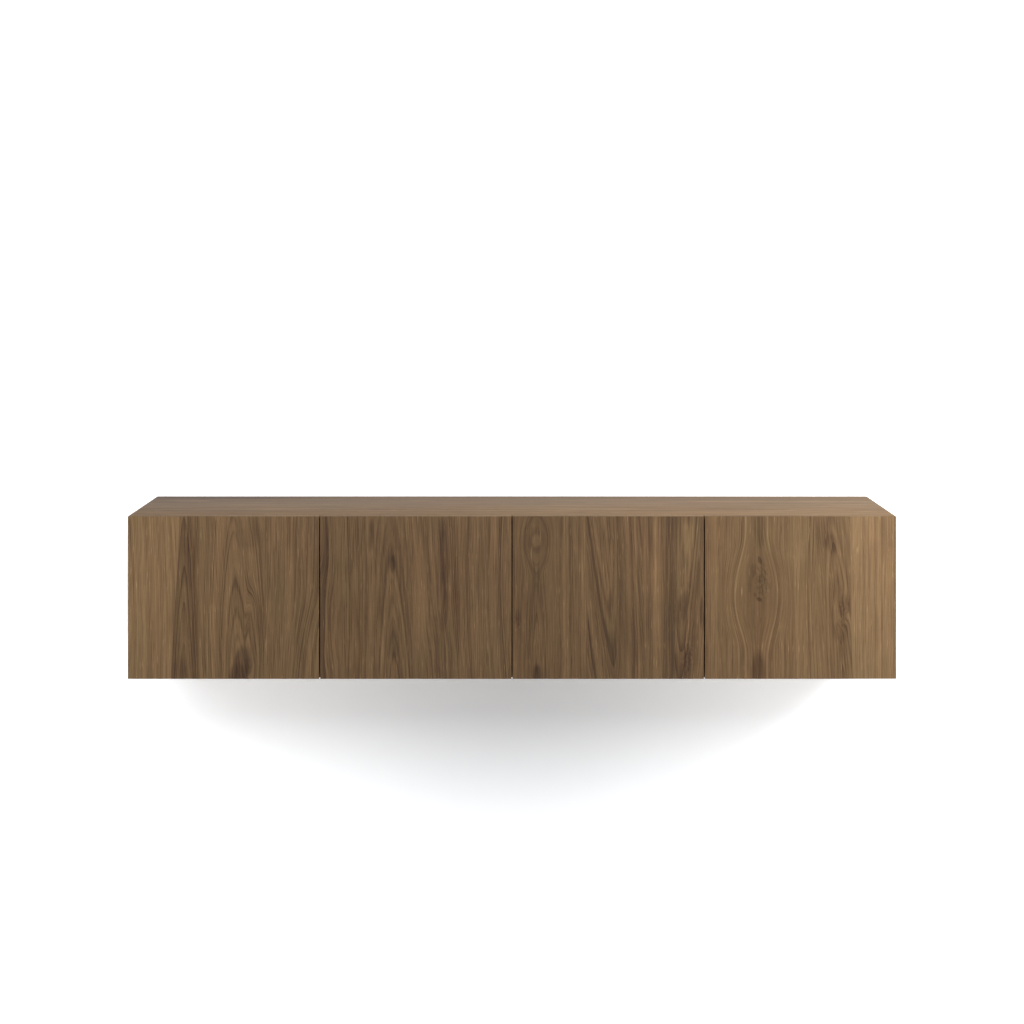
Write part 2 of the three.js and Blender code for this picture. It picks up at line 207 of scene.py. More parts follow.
# 1 where the camera sees it, straight or in a mirror, 0 where it only gives light
def seenByCamera(finish):
    path = finish.node("LightPath")
    seen = path.math("MAXIMUM", path.beside("Is Glossy Ray"))
    return seen.math("MAXIMUM", path.beside("Is Transmission Ray"))


# Full white where it is seen, and the studio's level as light
def makeLight():
    finish = Finish("studio", bpy.data.worlds)
    bpy.context.scene.world = finish.owner
    strength = finish.mix(seenByCamera(finish), view["worldStrength"], 1)
    background = finish.node("Background", None, {"Strength": strength, "Color": (1, 1, 1, 1)})
    finish.node("OutputWorld", None, {0: background})
    for name, (place, faced, width, height, power) in view["lamps"].items():
        light = bpy.data.lights.new(name, "AREA")
        light.shape = "RECTANGLE"
        light.size, light.size_y, light.energy = width, height, power
        lamp = newObject(name, light)
        lamp.location = place
        lamp.visible_camera = False
        lamp.rotation_euler = (Vector(faced) - Vector(place)).to_track_quat("-Z", "Y").to_euler()
    bpy.context.scene.view_settings.view_transform = "Standard"


# A white wall and floor that show only their front to the camera; the wall is painted greyer in its
# middle as shadow under the cabinet
def stagePaint(name):
    finish = Finish(name + "Paint")
    grey, white = view["stageGrey"], view["white"]
    if name == "wall":
        place = finish.node("SeparateXYZ", None, {0: finish.node("TexCoord", None, None, "Object")})
        # painted shadow: the wall is greyer in this ellipse, which deepens the cabinet's shadow on
        # it
        middle = softSpot(finish, finish.vector(place, place.beside(2)), *view["middle"])
        white = finish.mixColour(middle, white, view["paintedShadowWhite"])
    colour = finish.mixColour(seenByCamera(finish), (grey, grey, grey, 1), white)
    paint = finish.node("BsdfDiffuse", None, {"Color": colour})
    back = finish.node("NewGeometry").beside("Backfacing")
    clear = finish.node("BsdfTransparent")
    oneSided = finish.node("MixShader", None, {0: back, 1: paint, 2: clear})
    finish.node("OutputMaterial", None, {0: oneSided})
    return finish.owner


def makeStage():
    reach, low, rear = view["stageReach"], view["floorHeight"], view["wallGap"]
    foot = [(-reach, rear, low), (reach, rear, low)]
    panels = {
        "wall": [*foot, (reach, rear, reach), (-reach, rear, reach)],
        "floor": [(-reach, -reach, low), (reach, -reach, low), *foot[::-1]],
    }
    for name, corners in panels.items():
        mesh = bpy.data.meshes.new(name)
        mesh.from_pydata(corners, [], [(0, 1, 2, 3)])
        mesh.materials.append(stagePaint(name))
        panel = newObject(name, mesh)
        panel.visible_shadow = False
        # the wall doesn't darken what hangs on it
        panel.visible_diffuse = panel.visible_glossy = name == "floor"


makeCamera()
makeLight()
makeStage()
print("camera, light and stage made")


veneer = {
    "ringLines": 120,        # ring lines in a metre across
    "wander": (0.45, 0.8),   # how often, counted in rings, their widths change, and how far
    "fading": (0.33, -0.7, 1.1),     # how often lines fade, and between which levels
    "banding": 0.55,
    "lineDepth": 0.32,
    "bandDepth": 0.09,
    "streakDepth": 0.085,
    "poreDepth": 0.11,
    "fleckDepth": 0.26,
    "darkFlecks": 0.6,       # dark flecks against light ones
    "cloudDepth": 0.05,
    "mottleDepth": 0.012,
    "knotDepth": 0.12,
    "calmFade": 0.45,        # share of the streaks that a calm spot takes away
    "drift": (2.2, 0.35),    # millimetres that slow and quick drifts push the grain
    "leafEdge": 0.6,         # half the soft edge between two leaves, in millimetres
    "leafShift": 0.41,       # metres that part neighbouring leaves' patterns
    "red": (0.5, (1.06, 0.955, 0.92, 1)),
    "olive": (0.8, (0.95, 1.015, 0.98, 1)),
    "roughness": (0.6, 0.12, 0.04),  # plain, less in light wood, less in pores
    "gloss": 0.16,
    "topGloss": 0.2,
    "relief": (0.12, 0.15 * mm),
}

# Changes in a metre across and along the grain, what the seed gains, detail, roughness
patterns = {
    "streaks": (250, 2.6, 0, 3.0, 0.65),
    "pores": (430, 10, 3, 1.0),
    "flecks": (390, 23, 5, 1.0),
    "clouds": (7, 2.6, 11),
    "mottle": (26, 34, 17, 1.0),
    "swirls": (170, 110, 29),
    "hue": (16, 3.5, 23),
    "slowDrift": (9, 3.2, 41),
    "quickDrift": (55, 15, 47),
}

walnutTones = [
    (0.0, srgb(56, 40, 27)),
    (0.25, srgb(86, 65, 44)),
    (0.5, srgb(115, 90, 62)),
    (0.75, srgb(142, 114, 81)),
    (1.0, srgb(174, 146, 109)),
]


def pattern(finish, name, across, along, seed):
    u, v, added, *settings = patterns[name]
    return finish.noise((across * u, along * v, seed + added), *settings)


# ring is the distance from the leaf's heart and fibre its part straight across; shade changes
# the tone, calm fades the lines and knot breaks the grain into small swirls.
def woodSurface(finish, ring, fibre, across, along, shade, seed,
                redness=0.0, calm=0.0, knot=0.0, gloss="gloss"):
    count = ring * veneer["ringLines"]
    often, far = veneer["wander"]
    saw = (count + finish.noise(count * often + seed, 1.0) * far).math("FRACT")
    often, faint, full = veneer["fading"]
    depth = finish.noise(count * often + seed + 31, 1.0).step(faint, full)
    late = saw ** 3 * (1 - saw.step(0.93, 1.0)) * depth * (1 - calm)
    bands = finish.noise(count * veneer["banding"] + seed + 7, 3.0, 0.6)
    streaks, pores, flecks = (
        pattern(finish, name, fibre, along, seed) for name in ("streaks", "pores", "flecks"))
    clouds, mottle, hue = (
        pattern(finish, name, across, along, seed) for name in ("clouds", "mottle", "hue"))
    lines = streaks * veneer["streakDepth"] + pores * veneer["poreDepth"]
    light = flecks.step(0.45, 1.25) * veneer["fleckDepth"]
    dark = flecks.step(-0.5, -1.3) * veneer["fleckDepth"] * veneer["darkFlecks"]
    tone = (
        0.5 + shade - late * veneer["lineDepth"] + bands * veneer["bandDepth"]
        + lines * (1 - calm * veneer["calmFade"]) + light - dark
        + clouds * veneer["cloudDepth"] + mottle * veneer["mottleDepth"]
    )
    if knot:
        swirls = pattern(finish, "swirls", across, along, seed)
        tone = tone + swirls * knot * veneer["knotDepth"]
    colour = finish.node("ValToRGB", {"stops": walnutTones}, {0: tone})
    red = (hue + redness).step(-0.2, 1.6)
    olive = (hue + redness).step(0.1, -1.4)
    for share, (most, tint) in ((red, veneer["red"]), (olive, veneer["olive"])):
        colour = finish.mixColour(share * most, colour, tint, "MULTIPLY")
    plain, lighter, porous = veneer["roughness"]
    rough = plain - (tone - 0.5) * lighter - pores.step(0.5, 1.3) * porous
    relief = finish.bump(pores * 0.4 - late, *veneer["relief"])
    return finish.surface(
        Base_Color=colour, Roughness=rough, Normal=relief, Specular_IOR_Level=veneer[gloss])


# How far a point lies across and along the grain, which drifts a little
def grainPlace(finish, seed):
    place = finish.node("SeparateXYZ", None, {0: finish.node("UVMap", {"uv_map": "grain"})})
    across, along = place, place.beside(1)
    slow = pattern(finish, "slowDrift", across, along, seed)
    quick = pattern(finish, "quickDrift", across, along, seed)
    far, near = veneer["drift"]
    return across + slow * far * mm + quick * near * mm, along


# One leaf of a door's veneer, in millimetres from the door's middle: it starts on a leaning
# line, and heart, drift, peak, taper and point place its arches. lines are single rings:
# distance, half width, tone. Only an eye is swollen.
Leaf = namedtuple("Leaf", "heart peak taper tone start lean drift point eye lines",
                  defaults=(0, 0, 0, 1.6, False, ()))


# Distance from a leaf's heart: (|across|^point + |taper along|^point)^(1/point), which draws
# arches nested towards its peak. The second value is the distance straight across.
def heartDistance(across, along, leaf):
    side = across - leaf.heart * mm - along * leaf.drift
    if not leaf.taper:
        return abs(side), side
    up = abs(along - leaf.peak * mm) * leaf.taper
    return (abs(side) ** leaf.point + up ** leaf.point) ** (1 / leaf.point), side


plainLeaf = {
    "heartSpread": 0.5,      # in leaf widths
    "peakSpread": 2.4,       # in metres
    "taper": (0.07, 0.03),   # drawn and least
    "toneSpread": 0.08,
    "point": 1.6,
    "shift": 0.37,
}


# A board of plain leaves, each with heart, peak and taper drawn from its number. Its two
# slopes are how much lighter it gets in a metre across and along, painted light for how light
# falls on the board; the other faces, far along U, take the rim's shade. patches are a tone and
# an ellipse each.
def plainVeneer(name, seed, leafWidth, lift=0.0, paintedLightSlopes=(0.0, 0.0), patches=(), gloss="gloss"):
    finish = Finish(name)
    across, along = grainPlace(finish, seed)
    counted = across / leafWidth
    number = counted.math("FLOOR")
    chance = finish.node("TexWhiteNoise", {"noise_dimensions": "1D"}, {"W": number + seed}, "Color")
    drawn = finish.node("SeparateColor", None, {0: chance})
    heart = (drawn - 0.5) * plainLeaf["heartSpread"]
    peak = (drawn.beside(1) - 0.5) * plainLeaf["peakSpread"]
    spread, least = plainLeaf["taper"]
    side = abs(counted - number - 0.5 - heart) * leafWidth
    up = abs(along - peak) * (drawn.beside(2) * spread + least)
    point = plainLeaf["point"]
    ring = (side ** point + up ** point) ** (1 / point) + number * plainLeaf["shift"]
    shade = (drawn.beside(2) - 0.5) * plainLeaf["toneSpread"] + lift
    # painted light: the board gets lighter across and along it as the light falls on it
    if any(paintedLightSlopes):
        shade = shade + across.math("MINIMUM", leafWidth) * paintedLightSlopes[0] + along * paintedLightSlopes[1]
    for amount, *ellipse in patches:
        shade = shade + softSpot(finish, finish.vector(across, along), *ellipse) * amount
    return woodSurface(finish, ring, across, across, along, shade, seed, gloss=gloss)


# A door's show face: its leaves from left to right, then its patches
def figuredVeneer(name, figure):
    finish = Finish(name)
    seed = figure["seed"]
    across, along = grainPlace(finish, seed)
    place = finish.vector(across, along)

    bentAcross, bentAlong = across, along
    for sideways, upwards, *ellipse in figure.get("bends", ()):
        spot = softSpot(finish, place, *ellipse)
        bentAcross = bentAcross + spot * sideways * mm
        bentAlong = bentAlong + spot * upwards * mm
    calm, knot, swell = 0.0, 0.0, 1.0
    for amount, *ellipse in figure.get("eyes", ()):
        swell = swell - softSpot(finish, place, *ellipse) * amount
    for ellipse in figure.get("calm", ()):
        calm = softSpot(finish, place, *ellipse) + calm
    for ellipse in figure.get("knots", ()):
        knot = softSpot(finish, place, *ellipse) + knot

    ring, fibre, shade = None, None, None
    for number, leaf in enumerate(figure["leaves"]):
        own, side = heartDistance(bentAcross, bentAlong, leaf)
        if leaf.eye:
            own, side = own * swell, side * swell
        tone = leaf.tone
        for distance, half, depth in leaf.lines:
            tone = abs(own - distance * mm).step(half * mm, 0.0) * depth + tone
        if number == 0:
            ring, fibre, shade = own, side, tone
            continue
        shift, soft = number * veneer["leafShift"], veneer["leafEdge"] * mm
        own, side = own + shift, side + shift
        edge, start = across - along * leaf.lean, leaf.start * mm
        past = edge.step(start - soft, start + soft)
        ring = finish.mix(past, ring, own)
        fibre = finish.mix(past, fibre, side)
        shade = finish.mix(past, shade, tone)

    shade = shade + figure["lift"]
    if figure.get("slope"):
        shade = shade + across * figure["slope"]
    redness = 0.0
    for amount, warmth, *ellipse in figure["patches"]:
        spot = softSpot(finish, place, *ellipse)
        shade = shade + spot * amount
        if warmth:
            redness = redness + spot * warmth
    return woodSurface(finish, ring, fibre, across, along, shade, seed, redness, calm, knot)


# Millimetres from the middle of each door; slope is tone in a metre across. An ellipse comes
# last: across, up, half width, half height, and at need its tilt and how far its rim is eased.
# patches add tone and warmth, bends push the grain sideways and upwards, eyes swell it.
doorFigures = {"door_1": {
    "seed": 3.0, "lift": -0.05, "slope": -0.4,
    "leaves": [
        Leaf(-420, -100, 0.2, 0.08),
        Leaf(-92, -560, 0.05, -0.11, start=-112, lean=0.05),
        Leaf(29.5, -330, 0.1, 0.0, start=-57, drift=-0.043,
             lines=[(36.7, 2.4, -0.16), (30, 2, -0.12), (41, 1.6, 0.05), (48, 2, -0.07),
                    (24, 2, -0.08)]),
        Leaf(80, 0, 0, -0.02, start=80, lean=-0.074, drift=-0.074,
             lines=[(5, 3, -0.14), (14, 2, -0.07)]),
        Leaf(-160, 240, 0.3, 0.0, start=96, point=2.2),
    ],
    "bends": [(-15, 0, 71, -92, 24, 152), (26, 0, 240, -200, 120, 240)],
    "calm": [(38, 118, 34, 104), (140, -20, 34, 150)],
    "patches": [
        (-0.22, 0.5, 37, -172, 24, 80, -14, 0.4), (-0.06, -0.4, 175, 20, 20, 200),
        (-0.12, 0.5, 37, -190, 30, 44), (-0.08, 0.5, -80, 110, 22, 100),
        (-0.07, 0.7, -66, 0, 9, 240), (0.06, -0.4, -100, 20, 7, 120),
        (-0.05, 0.8, -100, -170, 20, 40), (0.04, 0, -190, 40, 30, 160),
        (-0.03, -0.8, 120, 40, 34, 120), (-0.07, 0.3, 66, 150, 22, 60),
        (-0.07, -0.3, 88, -80, 14, 110, 3), (-0.04, -0.3, 215, 0, 16, 200),
        (-0.065, 0, 50, 152, 34, 56), (-0.04, 0, 160, 150, 34, 60), (0.045, 0, -28, -110, 13, 130),
        (0.055, 0, 14, -45, 28, 80), (0.07, 0, 203, 15, 12, 64), (0.06, 0, -87, 36, 7, 70),
    ],
}, "door_2": {
    "seed": 8.0, "lift": -0.165, "slope": -0.22,
    "leaves": [
        Leaf(-520, 0, 0.2, 0.0),
        Leaf(-54, -420, 0.084, 0.02, start=-96, drift=-0.02,
             lines=[(43.7, 2.6, -0.2), (35, 2, -0.08), (28.5, 2, -0.13), (24.5, 1.8, -0.1),
                    (53, 2, -0.08)]),
        Leaf(700, 60, 0.3, 0.03, start=104),
    ],
    "bends": [(12, 0, -240, -60, 70, 200), (-9, 0, 60, -200, 60, 200)],
    "calm": [(12, 0, 26, 220), (-55, 168, 38, 62)],
    "patches": [
        (-0.2, 0.8, 67, 100, 14, 128), (-0.18, 0.7, 68, -28, 12, 64, -4),
        (-0.05, 1.1, 90, -6, 16, 50), (-0.08, 0.5, -214, 116, 11, 96),
        (-0.05, 0, -204, -30, 9, 90, 4), (-0.17, 0, -105, 148, 8, 52, -2),
        (-0.2, 0, -53, 78, 8, 28), (-0.02, 0.3, -153, 120, 18, 120),
        (-0.045, -0.3, 56, -110, 18, 110, 7), (-0.05, -0.6, 82, -130, 26, 120),
        (0.11, 0, -84, -118, 15, 96), (0.06, 0, -146, -108, 12, 84), (-0.055, 0, 55, 74, 9, 130),
        (0.05, 0, -58, -166, 12, 40), (-0.06, 0, 58, 158, 14, 40),
        (-0.04, -0.6, -52, -110, 14, 50), (0.06, 0.3, 8, 20, 22, 200),
    ],
}, "door_3": {
    "seed": 14.0, "lift": -0.145,
    "leaves": [
        Leaf(-167, -300, 0.064, -0.01, eye=True,
             lines=[(9, 2, -0.1), (22, 2, -0.06), (30, 2.4, -0.08), (38, 2, 0.05)]),
        Leaf(-470, 0, 0, 0.01, start=-122),
        Leaf(1, 420, 0.075, 0.0, start=-50, drift=-0.069,
             lines=[(22, 3, -0.05), (34.2, 2.6, -0.1), (40.5, 2.2, -0.08),
                    (45.5, 2.4, -0.08)]),
        Leaf(420, 0, 0.1, 0.02, start=84),
        Leaf(500, -60, 0.2, -0.11, start=131, lean=0.03),
        Leaf(172, 380, 0.07, 0.0, start=158, lean=0.03, drift=0.03,
             lines=[(18, 3, -0.08), (32, 3, -0.08)]),
    ],
    "bends": [(5, 60, 186, -90, 26, 60), (-4, -60, 176, -10, 14, 50)],
    "eyes": [(0.5, -167, 134, 50, 90)],
    "calm": [(-130, 0, 34, 240), (40, 0, 34, 240), (-167, 134, 34, 74)],
    "knots": [(-214, -64, 14, 26), (186, -140, 24, 60)],
    "patches": [
        (-0.12, 0, -167, 134, 24, 40), (0.17, 0.1, -167, 133, 15, 22),
        (-0.2, 0.2, -166, -182, 15, 34), (-0.14, 0.5, -212, -48, 10, 28),
        (-0.12, 0.3, 4, -8, 5, 36, -2), (-0.03, -0.9, 8, -66, 12, 44),
        (-0.05, -0.6, 2, 150, 11, 40), (-0.07, 0, 29, 0, 8, 230), (-0.05, 0, 50, 0, 36, 230),
        (-0.04, 0.6, 60, -100, 24, 90), (0.085, 0, 178, 110, 44, 110), (0.05, 0, 117, 160, 14, 50),
        (0.09, 0, -58, -40, 11, 240), (0.04, 0, -156, -112, 24, 84), (-0.04, 0, 206, -120, 16, 80),
        (0.08, 0, 117, 30, 12, 200), (0.18, -0.3, 182, 140, 9, 60), (-0.2, -0.3, 219, -34, 7, 48),
        (-0.12, 0.9, 176, -152, 30, 54),
    ],
}, "door_4": {
    "seed": 21.0, "lift": -0.005,
    "leaves": [
        Leaf(-104, 0, 0, 0.02, eye=True,
             lines=[(6, 18, -0.08), (20.5, 2.2, -0.13), (25.5, 2.2, 0.12), (31, 3, -0.07)]),
        Leaf(330, 0, 0.2, 0.03, start=-14, lean=-0.01),
        Leaf(86, -200, 0.091, -0.01, start=38, lean=-0.02, drift=-0.08,
             lines=[(22, 3, -0.1)]),
        Leaf(640, 0, 0.1, 0.14, start=119, lean=-0.02),
    ],
    "bends": [(4, 24, 96, -30, 26, 60)],
    "eyes": [(0.57, -104, 8, 92, 150)],
    "calm": [(-100, 14, 56, 150)],
    "knots": [(-92, 40, 28, 60), (100, -40, 20, 50)],
    "patches": [
        (-0.035, 0.2, -103, 10, 50, 120), (-0.04, 0, -58, 0, 16, 210),
        (0.075, 0, -16, 118, 32, 100), (0.035, 0, 130, 60, 28, 110), (0.06, 0, 146, 160, 44, 70),
        (-0.05, -1.0, -93, 30, 18, 34), (-0.2, 0, -96, 88, 6, 13, 24),
        (-0.2, 0, -98, -4, 9, 6, -34), (-0.1, 0, -106, 6, 5, 8, 20), (-0.1, 0.6, -110, 60, 7, 26),
        (-0.1, -0.2, -95, 160, 15, 70), (-0.2, 0.3, -100, -172, 24, 60),
        (-0.16, 0.6, 72, 128, 18, 34, 10), (-0.05, 0.3, 54, 150, 22, 50),
        (-0.12, 0.5, 101, -20, 16, 34), (-0.12, 0.3, 94, -80, 24, 34),
        (-0.08, 0.2, 98, -140, 20, 80), (0.08, 0.2, 80, 60, 8, 60, -4), (0.03, 0, 206, 0, 20, 220),
    ],
}}

plainWalnut = {
    # painted light: the top is lighter towards the right and towards the front
    "top": plainVeneer("walnutTop", 31.0, 0.2, 0.035, (-0.25, 0.06),
                       # painted shade along the left of the back edge, then a lighter strip near
                       # the back on the right
                       [(-0.17, 215, -760, 90, 460), (0.14, 90, 700, 24, 420)], "topGloss"),
    "carcass": plainVeneer("walnutCarcass", 37.0, 0.18),
    "doorBack": plainVeneer("walnutDoorBack", 43.0, 0.15),
}
print("veneers made:", len(plainWalnut) + len(doorFigures))


fittingStyles = {
    # two tones, metallic, roughness and how far it wavers, grain size
    "nickel": (srgb(176, 174, 168), srgb(214, 212, 206), 0.85, 0.34, 0.1, 900),
    "zinc": (srgb(150, 152, 153), srgb(192, 194, 194), 0.9, 0.46, 0.14, 260),
    "darkPlastic": (srgb(38, 37, 36), srgb(50, 49, 48), 0.0, 0.52, 0.08, 1500),
    "palePlastic": (srgb(178, 176, 169), srgb(193, 191, 184), 0.0, 0.42, 0.08, 1200),
    "backBoard": (srgb(66, 53, 40), srgb(84, 68, 52), 0.0, 0.68, 0.08, 700),
}


# Plating, plastic or pressed board: patches of two tones and a fine even grain
def fittingFinish(name):
    dark, light, metallic, roughness, waver, grainSize = fittingStyles[name]
    finish = Finish(name)
    place = finish.node("TexCoord", None, None, "Object")
    coarse = finish.node("TexNoise", None, {
        "Vector": place, "Scale": grainSize * 0.09, "Detail": 3.0, "Roughness": 0.6})
    fine = finish.node("TexNoise", None, {"Vector": place, "Scale": grainSize, "Detail": 2.0})
    colour = finish.mixColour(coarse.step(0.3, 0.7) * 0.7 + fine * 0.3, dark, light)
    rough = coarse * waver + (roughness - waver / 2) + (fine - 0.5) * 0.1
    return finish.surface(
        Base_Color=colour, Metallic=metallic, Roughness=rough,
        Normal=finish.bump(fine, 0.12, 0.05 * mm))


fittings = {name: fittingFinish(name) for name in fittingStyles}
print("metal and plastic finishes made")


# A closed outline carried along one axis, with both ends closed
def carried(outline, axis, start, end):
    outline = np.asarray(outline, float)
    count = len(outline)
    points = np.zeros((2, count, 3))
    points[0, :, axis], points[1, :, axis] = start, end
    points[:, :, (axis + 1) % 3] = outline[:, 0]
    points[:, :, (axis + 2) % 3] = outline[:, 1]
    ring = np.arange(count)
    after = np.roll(ring, -1)
    sides = np.stack([ring, after, after + count, ring + count], 1)
    return points.reshape(-1, 3), [*sides.tolist(), ring[::-1].tolist(), (ring + count).tolist()]


# A box between two opposite corners, as a rectangle carried along X
def block(low, high):
    (x0, y0, z0), (x1, y1, z1) = low, high
    return carried([(y0, z0), (y1, z0), (y1, z1), (y0, z1)], 0, x0, x1)


# A profile of (radius, height) turned round an axis
def turned(profile, axis, centre, sides=40):
    radius, height = np.asarray(profile, float).T
    angle = np.arange(sides) * 2 * math.pi / sides
    points = np.zeros((len(radius), sides, 3))
    points[:, :, axis] = height[:, None]
    points[:, :, (axis + 1) % 3] = radius[:, None] * np.cos(angle)
    points[:, :, (axis + 2) % 3] = radius[:, None] * np.sin(angle)
    points += np.asarray(centre, float)
    row, column = np.meshgrid(np.arange(len(radius) - 1), np.arange(sides), indexing="ij")
    here = row * sides + column
    beside = row * sides + (column + 1) % sides
    faces = np.stack([here, beside, beside + sides, here + sides], -1).reshape(-1, 4)
    return points.reshape(-1, 3), faces.tolist()


meshing = {"mergeDistance": 1e-6, "bevelSteps": 2, "bevelAngle": 40, "smoothAngle": 35}


# One property of all items, as rows where it is a vector
def readAll(items, name, size=1, kind=float):
    values = np.zeros(len(items) * size, kind)
    items.foreach_get(name, values)
    return values.reshape(-1, size) if size > 1 else values


# Several closed shapes as one object with merged doubles and outward faces
def makePiece(name, shapes, bevel=0.0):
    points, faces = [], []
    for shapePoints, shapeFaces in shapes:
        first = sum(len(each) for each in points)
        points.append(np.asarray(shapePoints))
        faces += [[first + corner for corner in face] for face in shapeFaces]
    mesh = bpy.data.meshes.new(name)
    mesh.from_pydata(np.concatenate(points).tolist(), [], faces)
    work = bmesh.new()
    work.from_mesh(mesh)
    bmesh.ops.remove_doubles(work, verts=work.verts, dist=meshing["mergeDistance"])
    bmesh.ops.recalc_face_normals(work, faces=work.faces)
    work.to_mesh(mesh)
    work.free()
    piece = newObject(name, mesh)
    if bevel:
        easing = piece.modifiers.new("easedEdges", "BEVEL")
        easing.width = bevel
        easing.segments = meshing["bevelSteps"]
        easing.limit_method = "ANGLE"
        easing.angle_limit = math.radians(meshing["bevelAngle"])
        applyModifiers(piece)
    smooth(piece)
    return piece


def smooth(piece):
    piece.data.shade_smooth()
    piece.data.set_sharp_from_angle(angle=math.radians(meshing["smoothAngle"]))


def applyModifiers(piece):
    graph = bpy.context.evaluated_depsgraph_get()
    finished = bpy.data.meshes.new_from_object(piece.evaluated_get(graph))
    piece.modifiers.clear()
    old, piece.data = piece.data, finished
    bpy.data.meshes.remove(old)
    finished.name = piece.name


# Takes the cutters' shapes out of a piece
def carve(piece, cutters):
    cutter = makePiece(piece.name + "Cutter", cutters)
    carving = piece.modifiers.new("carving", "BOOLEAN")
    carving.operation = "DIFFERENCE"
    carving.solver = "EXACT"
    carving.object = cutter
    applyModifiers(piece)
    bpy.data.objects.remove(cutter)
    smooth(piece)


# A node's low and high corner in millimetres
def boxInMm(node):
    return [np.array(corner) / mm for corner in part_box(node)]


# A piece from shapes in millimetres
def pieceInMm(node, shapes, bevel=0.0):
    scaled = [(points * mm, faces) for points, faces in shapes]
    return makePiece(node + "_piece", scaled, bevel * mm)


# A finished piece rides with its node's body and takes its node's place
def seat(piece, node, slot, *materials):
    for material in materials:
        piece.data.materials.append(material)
    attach(piece, bodyOfNode[node])
    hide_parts(node)


boards = {
    "easedEdge": 0.7 * mm,
    "backEasedEdge": 0.4 * mm,
    "holeRadius": 2.65 * mm,
    "holeDepth": 10 * mm,
    "holePitch": 32 * mm,
    "holeSides": 24,
    "cutterOut": 2 * mm,     # how far a hole's cutter stands out of the panel
    # how far along U the other faces lie, and what each axis and a positive side add
    "away": (2.0, 1.3, 4.1),
    # node: (grain axis, show axis, show side, finish)
    "plain": {
        "top_panel": (0, 2, 1, "top"),
        "bottom_panel": (0, 2, -1, "carcass"),
        "left_side": (1, 0, -1, "carcass"),
        "right_side": (1, 0, 1, "carcass"),
        "centre_partition": (1, 0, -1, "carcass"),
        "shelf_left": (0, 2, 1, "carcass"),
        "shelf_right": (0, 2, 1, "carcass"),
    },
}

# Millimetres from the panel's face and from the top of the pad
pins = {
    "gap": 0.3,
    "pad": (4.5, 5, 2, 9.3),     # half length, half width, thickness, far end
    "flange": (5, 4.5, 1.8),     # half width, half height, far end
    "corner": (1.5, 5),          # radius, steps
    "shank": (2.5, 9.5, 0.5),    # radius, how far it stands in the panel and out of it
    "shankDrop": 4.5,
    "shankEase": 0.4,
}
shelfPins = [name for name in nodes if name.startswith("shelf_pin")]


# Grain coordinates in metres: V runs along the grain, on an end along its longer way.
# All faces but the show face move far along U, so a door's figure stays on its front.
def layGrain(piece, grainAxis, showAxis, showSide):
    mesh = piece.data
    layer = mesh.uv_layers.new(name="grain")
    corners = readAll(mesh.loops, "vertex_index", 1, np.int32)
    points = readAll(mesh.vertices, "co", 3)
    middle = (points.min(0) + points.max(0)) / 2
    size = points.max(0) - points.min(0)
    totals = readAll(mesh.polygons, "loop_total", 1, np.int32)
    normals = readAll(mesh.polygons, "normal", 3)
    facing = np.abs(normals).argmax(1)
    positive = np.take_along_axis(normals, facing[:, None], 1)[:, 0] > 0
    along = np.full(len(facing), grainAxis)
    others = [axis for axis in range(3) if axis != grainAxis]
    along[facing == grainAxis] = max(others, key=lambda axis: size[axis])
    across = 3 - facing - along
    shown = (facing == showAxis) & (positive == (showSide > 0))
    order = np.repeat(np.arange(len(facing)), totals)
    local = (points - middle)[corners]
    each = np.arange(len(corners))
    uv = np.stack([local[each, across[order]], local[each, along[order]]], 1)
    away, byAxis, bySide = boards["away"]
    away = np.where(shown, 0.0, away + byAxis * facing + bySide * positive)
    uv[:, 0] += away[order]
    layer.data.foreach_set("uv", uv.astype(np.float32).ravel())
    return shown


def boardPiece(node, eased):
    low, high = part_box(node)
    return makePiece(node + "_board", [block(low, high)], eased)


# The drilled rows, found from the shelf pins that stand in them
def pinHoles(node):
    low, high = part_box(node)
    sides, pitch = boards["holeSides"], boards["holePitch"]
    angle = np.arange(sides) * 2 * math.pi / sides
    circle = np.stack([np.cos(angle), np.sin(angle)], 1) * boards["holeRadius"]
    holes = []
    for pin in shelfPins:
        pinLow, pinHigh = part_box(pin)
        inPanel = [x for x in (pinLow.x, pinHigh.x) if low.x < x < high.x]
        if not inPanel:
            continue
        face, inward = (high.x, -1) if inPanel[0] == pinLow.x else (low.x, 1)
        ends = sorted([face + inward * boards["holeDepth"], face - inward * boards["cutterOut"]])
        middleY = (pinLow.y + pinHigh.y) / 2
        shank = pinHigh.z - pins["shankDrop"] * mm
        for rise in (-pitch, 0, pitch):
            holes.append(carried(circle + (middleY, shank + rise), 0, *ends))
    return holes


def makeBoards():
    for node, (grain, showAxis, showSide, finish) in boards["plain"].items():
        board = boardPiece(node, boards["easedEdge"])
        if node in ("left_side", "right_side", "centre_partition"):
            carve(board, pinHoles(node))
        layGrain(board, grain, showAxis, showSide)
        seat(board, node, "walnut_" + finish, plainWalnut[finish])


makeBoards()
print("carcass boards made")


doors = {
    "easedEdge": 0.5 * mm,
    "boreRadius": 17.8 * mm,
    "boreDepth": 11.8 * mm,
    "boreSides": 64,
    "cutterLength": 20 * mm,
}


def makeDoors():
    radius, reach = doors["boreRadius"], doors["cutterLength"]
    profile = [(0, 0), (radius, 0), (radius, reach), (0, reach)]
    for node, figure in doorFigures.items():
        door = boardPiece(node, doors["easedEdge"])
        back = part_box(node)[1].y
        bores = []
        for level in ("upper", "lower"):
            low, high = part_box(node.replace("door", "hinge_cup") + "_" + level)
            centre = (low + high) / 2
            place = (centre.x, back - doors["boreDepth"], centre.z)
            bores.append(turned(profile, 1, place, doors["boreSides"]))
        carve(door, bores)
        shown = layGrain(door, 2, 1, -1)
        front = figuredVeneer("walnut_" + node, figure)
        seat(door, node, "walnut_doors", plainWalnut["doorBack"], front)
        door.data.polygons.foreach_set("material_index", shown.astype(np.int32))


makeDoors()
print("doors made")


